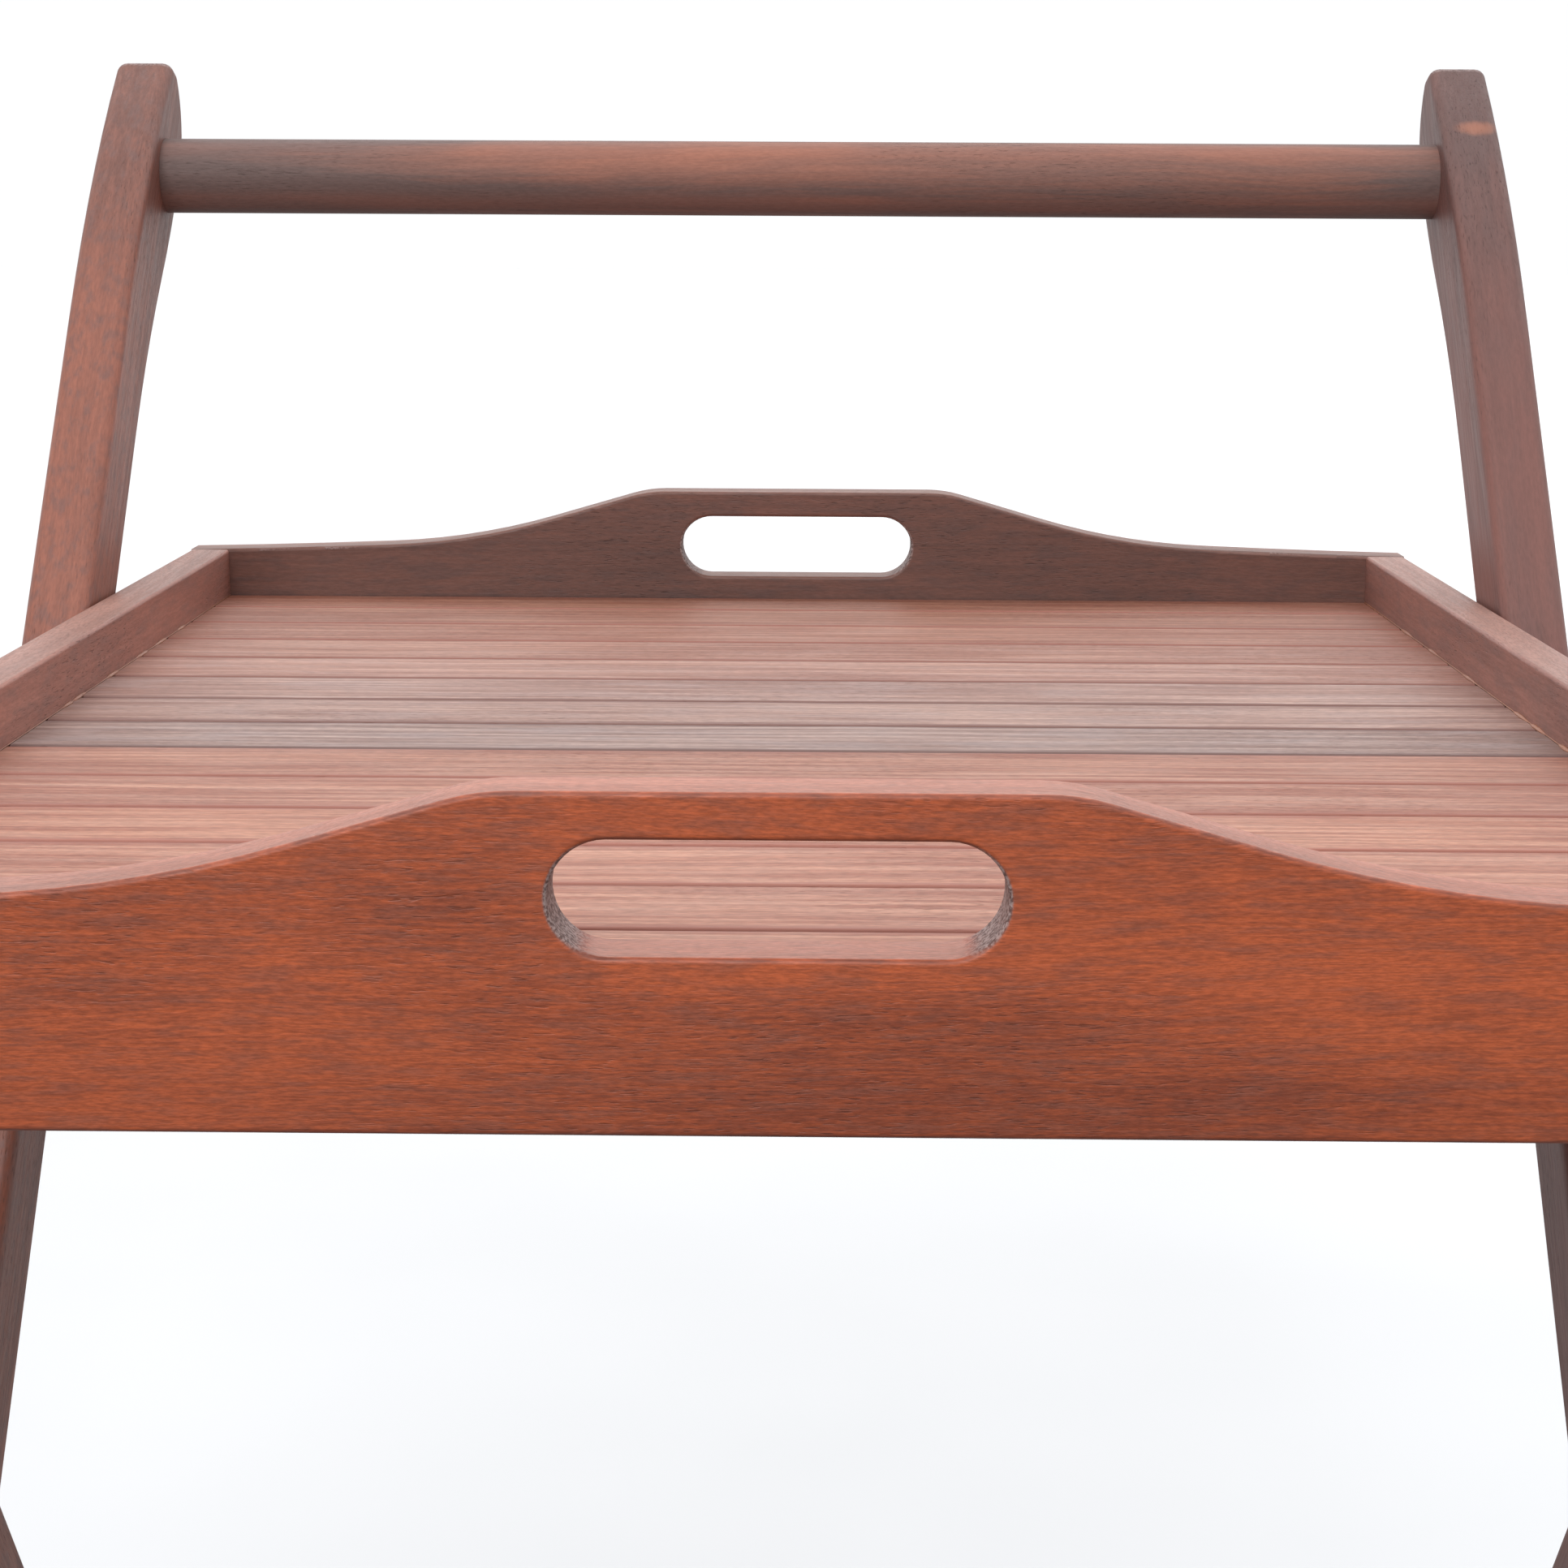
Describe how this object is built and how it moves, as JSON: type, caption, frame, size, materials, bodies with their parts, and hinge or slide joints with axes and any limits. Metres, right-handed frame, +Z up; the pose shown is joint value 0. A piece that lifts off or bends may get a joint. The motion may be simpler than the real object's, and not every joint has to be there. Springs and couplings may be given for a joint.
{
  "type": "folding tray table",
  "caption": "Crossed-leg folding wooden stand with a round carrying handle, holding a lift-off slatted tray with shaped end boards and hand holds.",
  "frame": {"origin": "on the floor, under the middle of the open table's bounding box", "axes": "+X to the right seen from the front, +Y from the front to the rear where the handle is, +Z up"},
  "size_m": [0.5632, 0.64, 0.7999],
  "materials": {
    "frame_wood": "oiled satin",
    "handle_wood": "oiled satin",
    "tray_wood": "oiled satin",
    "slat_wood": "oiled matt",
    "hidden_wood": "oiled matt",
    "pivot_hardware": "zinc plated satin",
    "screw_metal": "dull brass"
  },
  "bodies": {
    "handle_frame": {"left_long_leg": "frame_wood", "right_long_leg": "frame_wood", "handle_rod": "handle_wood", "rear_support_bar": "frame_wood", "long_leg_stretcher": "frame_wood", "pivot_bolts": "pivot_hardware", "spacer_washers": "pivot_hardware", "nut_washers": "pivot_hardware", "cap_nuts": "pivot_hardware", "handle_screws": "screw_metal", "rear_bar_screws": "screw_metal", "long_stretcher_screws": "screw_metal"},
    "short_leg_frame": {"left_short_leg": "frame_wood", "right_short_leg": "frame_wood", "front_support_bar": "frame_wood", "short_leg_stretcher": "frame_wood", "front_bar_screws": "screw_metal", "short_stretcher_screws": "screw_metal"},
    "tray": {"front_end_board": "tray_wood", "rear_end_board": "tray_wood", "left_side_rail": "tray_wood", "right_side_rail": "tray_wood", "left_ledger_strip": "hidden_wood", "centre_batten": "hidden_wood", "right_ledger_strip": "hidden_wood", "slat_01": "slat_wood", "slat_02": "slat_wood", "slat_03": "slat_wood", "slat_04": "slat_wood", "slat_05": "slat_wood", "slat_06": "slat_wood", "slat_07": "slat_wood", "slat_08": "slat_wood", "slat_09": "slat_wood", "slat_10": "slat_wood", "slat_11": "slat_wood", "slat_12": "slat_wood", "slat_13": "slat_wood", "slat_14": "slat_wood", "slat_screws": "screw_metal", "tray_corner_screws": "screw_metal"}
  },
  "joints": [
    {"name": "tray_lift", "type": "slide", "parent": "handle_frame", "child": "tray", "axis": [0, -0.4226, 0.9063], "range_m": [0, 0.6]},
    {"name": "stand_fold", "type": "hinge", "parent": "handle_frame", "child": "short_leg_frame", "pos_m": [0, -0.07575, 0.2934], "axis": [-1, 0, 0], "range_deg": [0, 62]}
  ],
  "couplings": [
    {"joint": "stand_fold", "follows": "tray_lift", "rad_per_m": 1.8}
  ]
}
